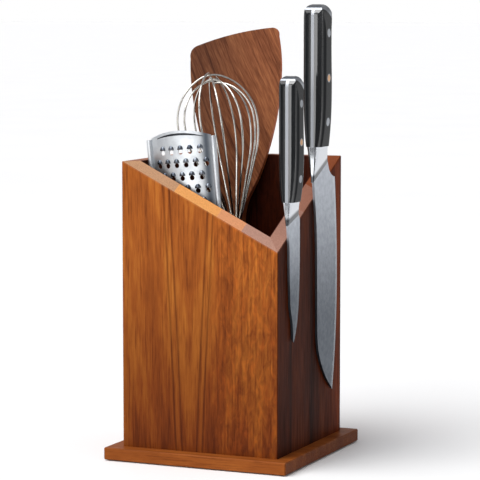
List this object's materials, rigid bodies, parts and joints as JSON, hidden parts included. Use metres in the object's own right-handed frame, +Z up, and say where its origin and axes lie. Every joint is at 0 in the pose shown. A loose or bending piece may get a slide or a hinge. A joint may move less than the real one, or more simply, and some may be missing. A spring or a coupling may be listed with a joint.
{
  "type": "knife block with knives",
  "caption": "Square wooden block with a slanted rim: knives lie flat on one side, held by hidden magnets, and a whisk, a turner and a hand grater stand in its well.",
  "frame": {"origin": "on the table under the centre of the base board", "axes": "+Z up; +X towards the wall that holds the knives; the front wall faces -Y"},
  "size_m": [0.176, 0.176, 0.4063],
  "materials": {
    "front_acacia": "oiled, vertical grain, semi-gloss",
    "side_acacia": "oiled, dark vertical stripes, semi-gloss",
    "base_acacia": "oiled, semi-gloss",
    "screw_steel": "zinc plated",
    "foot_rubber": "matte",
    "magnet_nickel": "nickel plated",
    "blade_steel": "satin ground, polished bolster",
    "black_scale": "polished black",
    "polished_steel": "polished",
    "rivet_brass": "polished",
    "whisk_wire": "polished wire",
    "whisk_tube": "satin",
    "walnut": "oiled, matte",
    "grater_steel": "bright pressed sheet",
    "grater_grip": "matte"
  },
  "bodies": {
    "block": {"front_wall": "front_acacia", "right_wall": "side_acacia", "back_wall": "side_acacia", "left_wall": "side_acacia", "base_board": "base_acacia", "base_screws": "screw_steel", "rubber_feet": "foot_rubber", "wall_magnets": "magnet_nickel", "magnet_covers": "side_acacia"},
    "chef_knife": {"chef_knife_blade": "blade_steel", "chef_knife_outer_scale": "black_scale", "chef_knife_inner_scale": "black_scale", "chef_knife_end_cap": "polished_steel", "chef_knife_rivets": "polished_steel", "chef_knife_middle_rivet": "polished_steel", "chef_knife_rivet_core": "rivet_brass"},
    "utility_knife": {"utility_knife_blade": "blade_steel", "utility_knife_outer_scale": "black_scale", "utility_knife_inner_scale": "black_scale", "utility_knife_end_cap": "polished_steel", "utility_knife_rivets": "polished_steel", "utility_knife_middle_rivet": "polished_steel", "utility_knife_rivet_core": "rivet_brass"},
    "whisk": {"whisk_loop_1": "whisk_wire", "whisk_loop_2": "whisk_wire", "whisk_loop_3": "whisk_wire", "whisk_loop_4": "whisk_wire", "whisk_loop_5": "whisk_wire", "whisk_loop_6": "whisk_wire", "whisk_handle": "whisk_tube", "whisk_end_cap": "whisk_tube", "whisk_plug": "whisk_tube"},
    "turner": {"turner": "walnut"},
    "grater": {"grater_sheet": "grater_steel", "grater_left_rail": "grater_steel", "grater_right_rail": "grater_steel", "grater_handle": "grater_grip"}
  },
  "joints": [
    {"name": "chef_knife_pull", "type": "slide", "parent": "block", "child": "chef_knife", "axis": [1, 0, 0], "range_m": [0, 0.12]},
    {"name": "utility_knife_pull", "type": "slide", "parent": "block", "child": "utility_knife", "axis": [1, 0, 0], "range_m": [0, 0.12]},
    {"name": "whisk_lift", "type": "slide", "parent": "block", "child": "whisk", "axis": [-0.1701, 0, 0.9854], "range_m": [0, 0.28]},
    {"name": "turner_lift", "type": "slide", "parent": "block", "child": "turner", "axis": [-0.032, 0.036, 0.9988], "range_m": [0, 0.28]},
    {"name": "grater_lift", "type": "slide", "parent": "block", "child": "grater", "axis": [-0.0896, 0, 0.996], "range_m": [0, 0.28]}
  ]
}
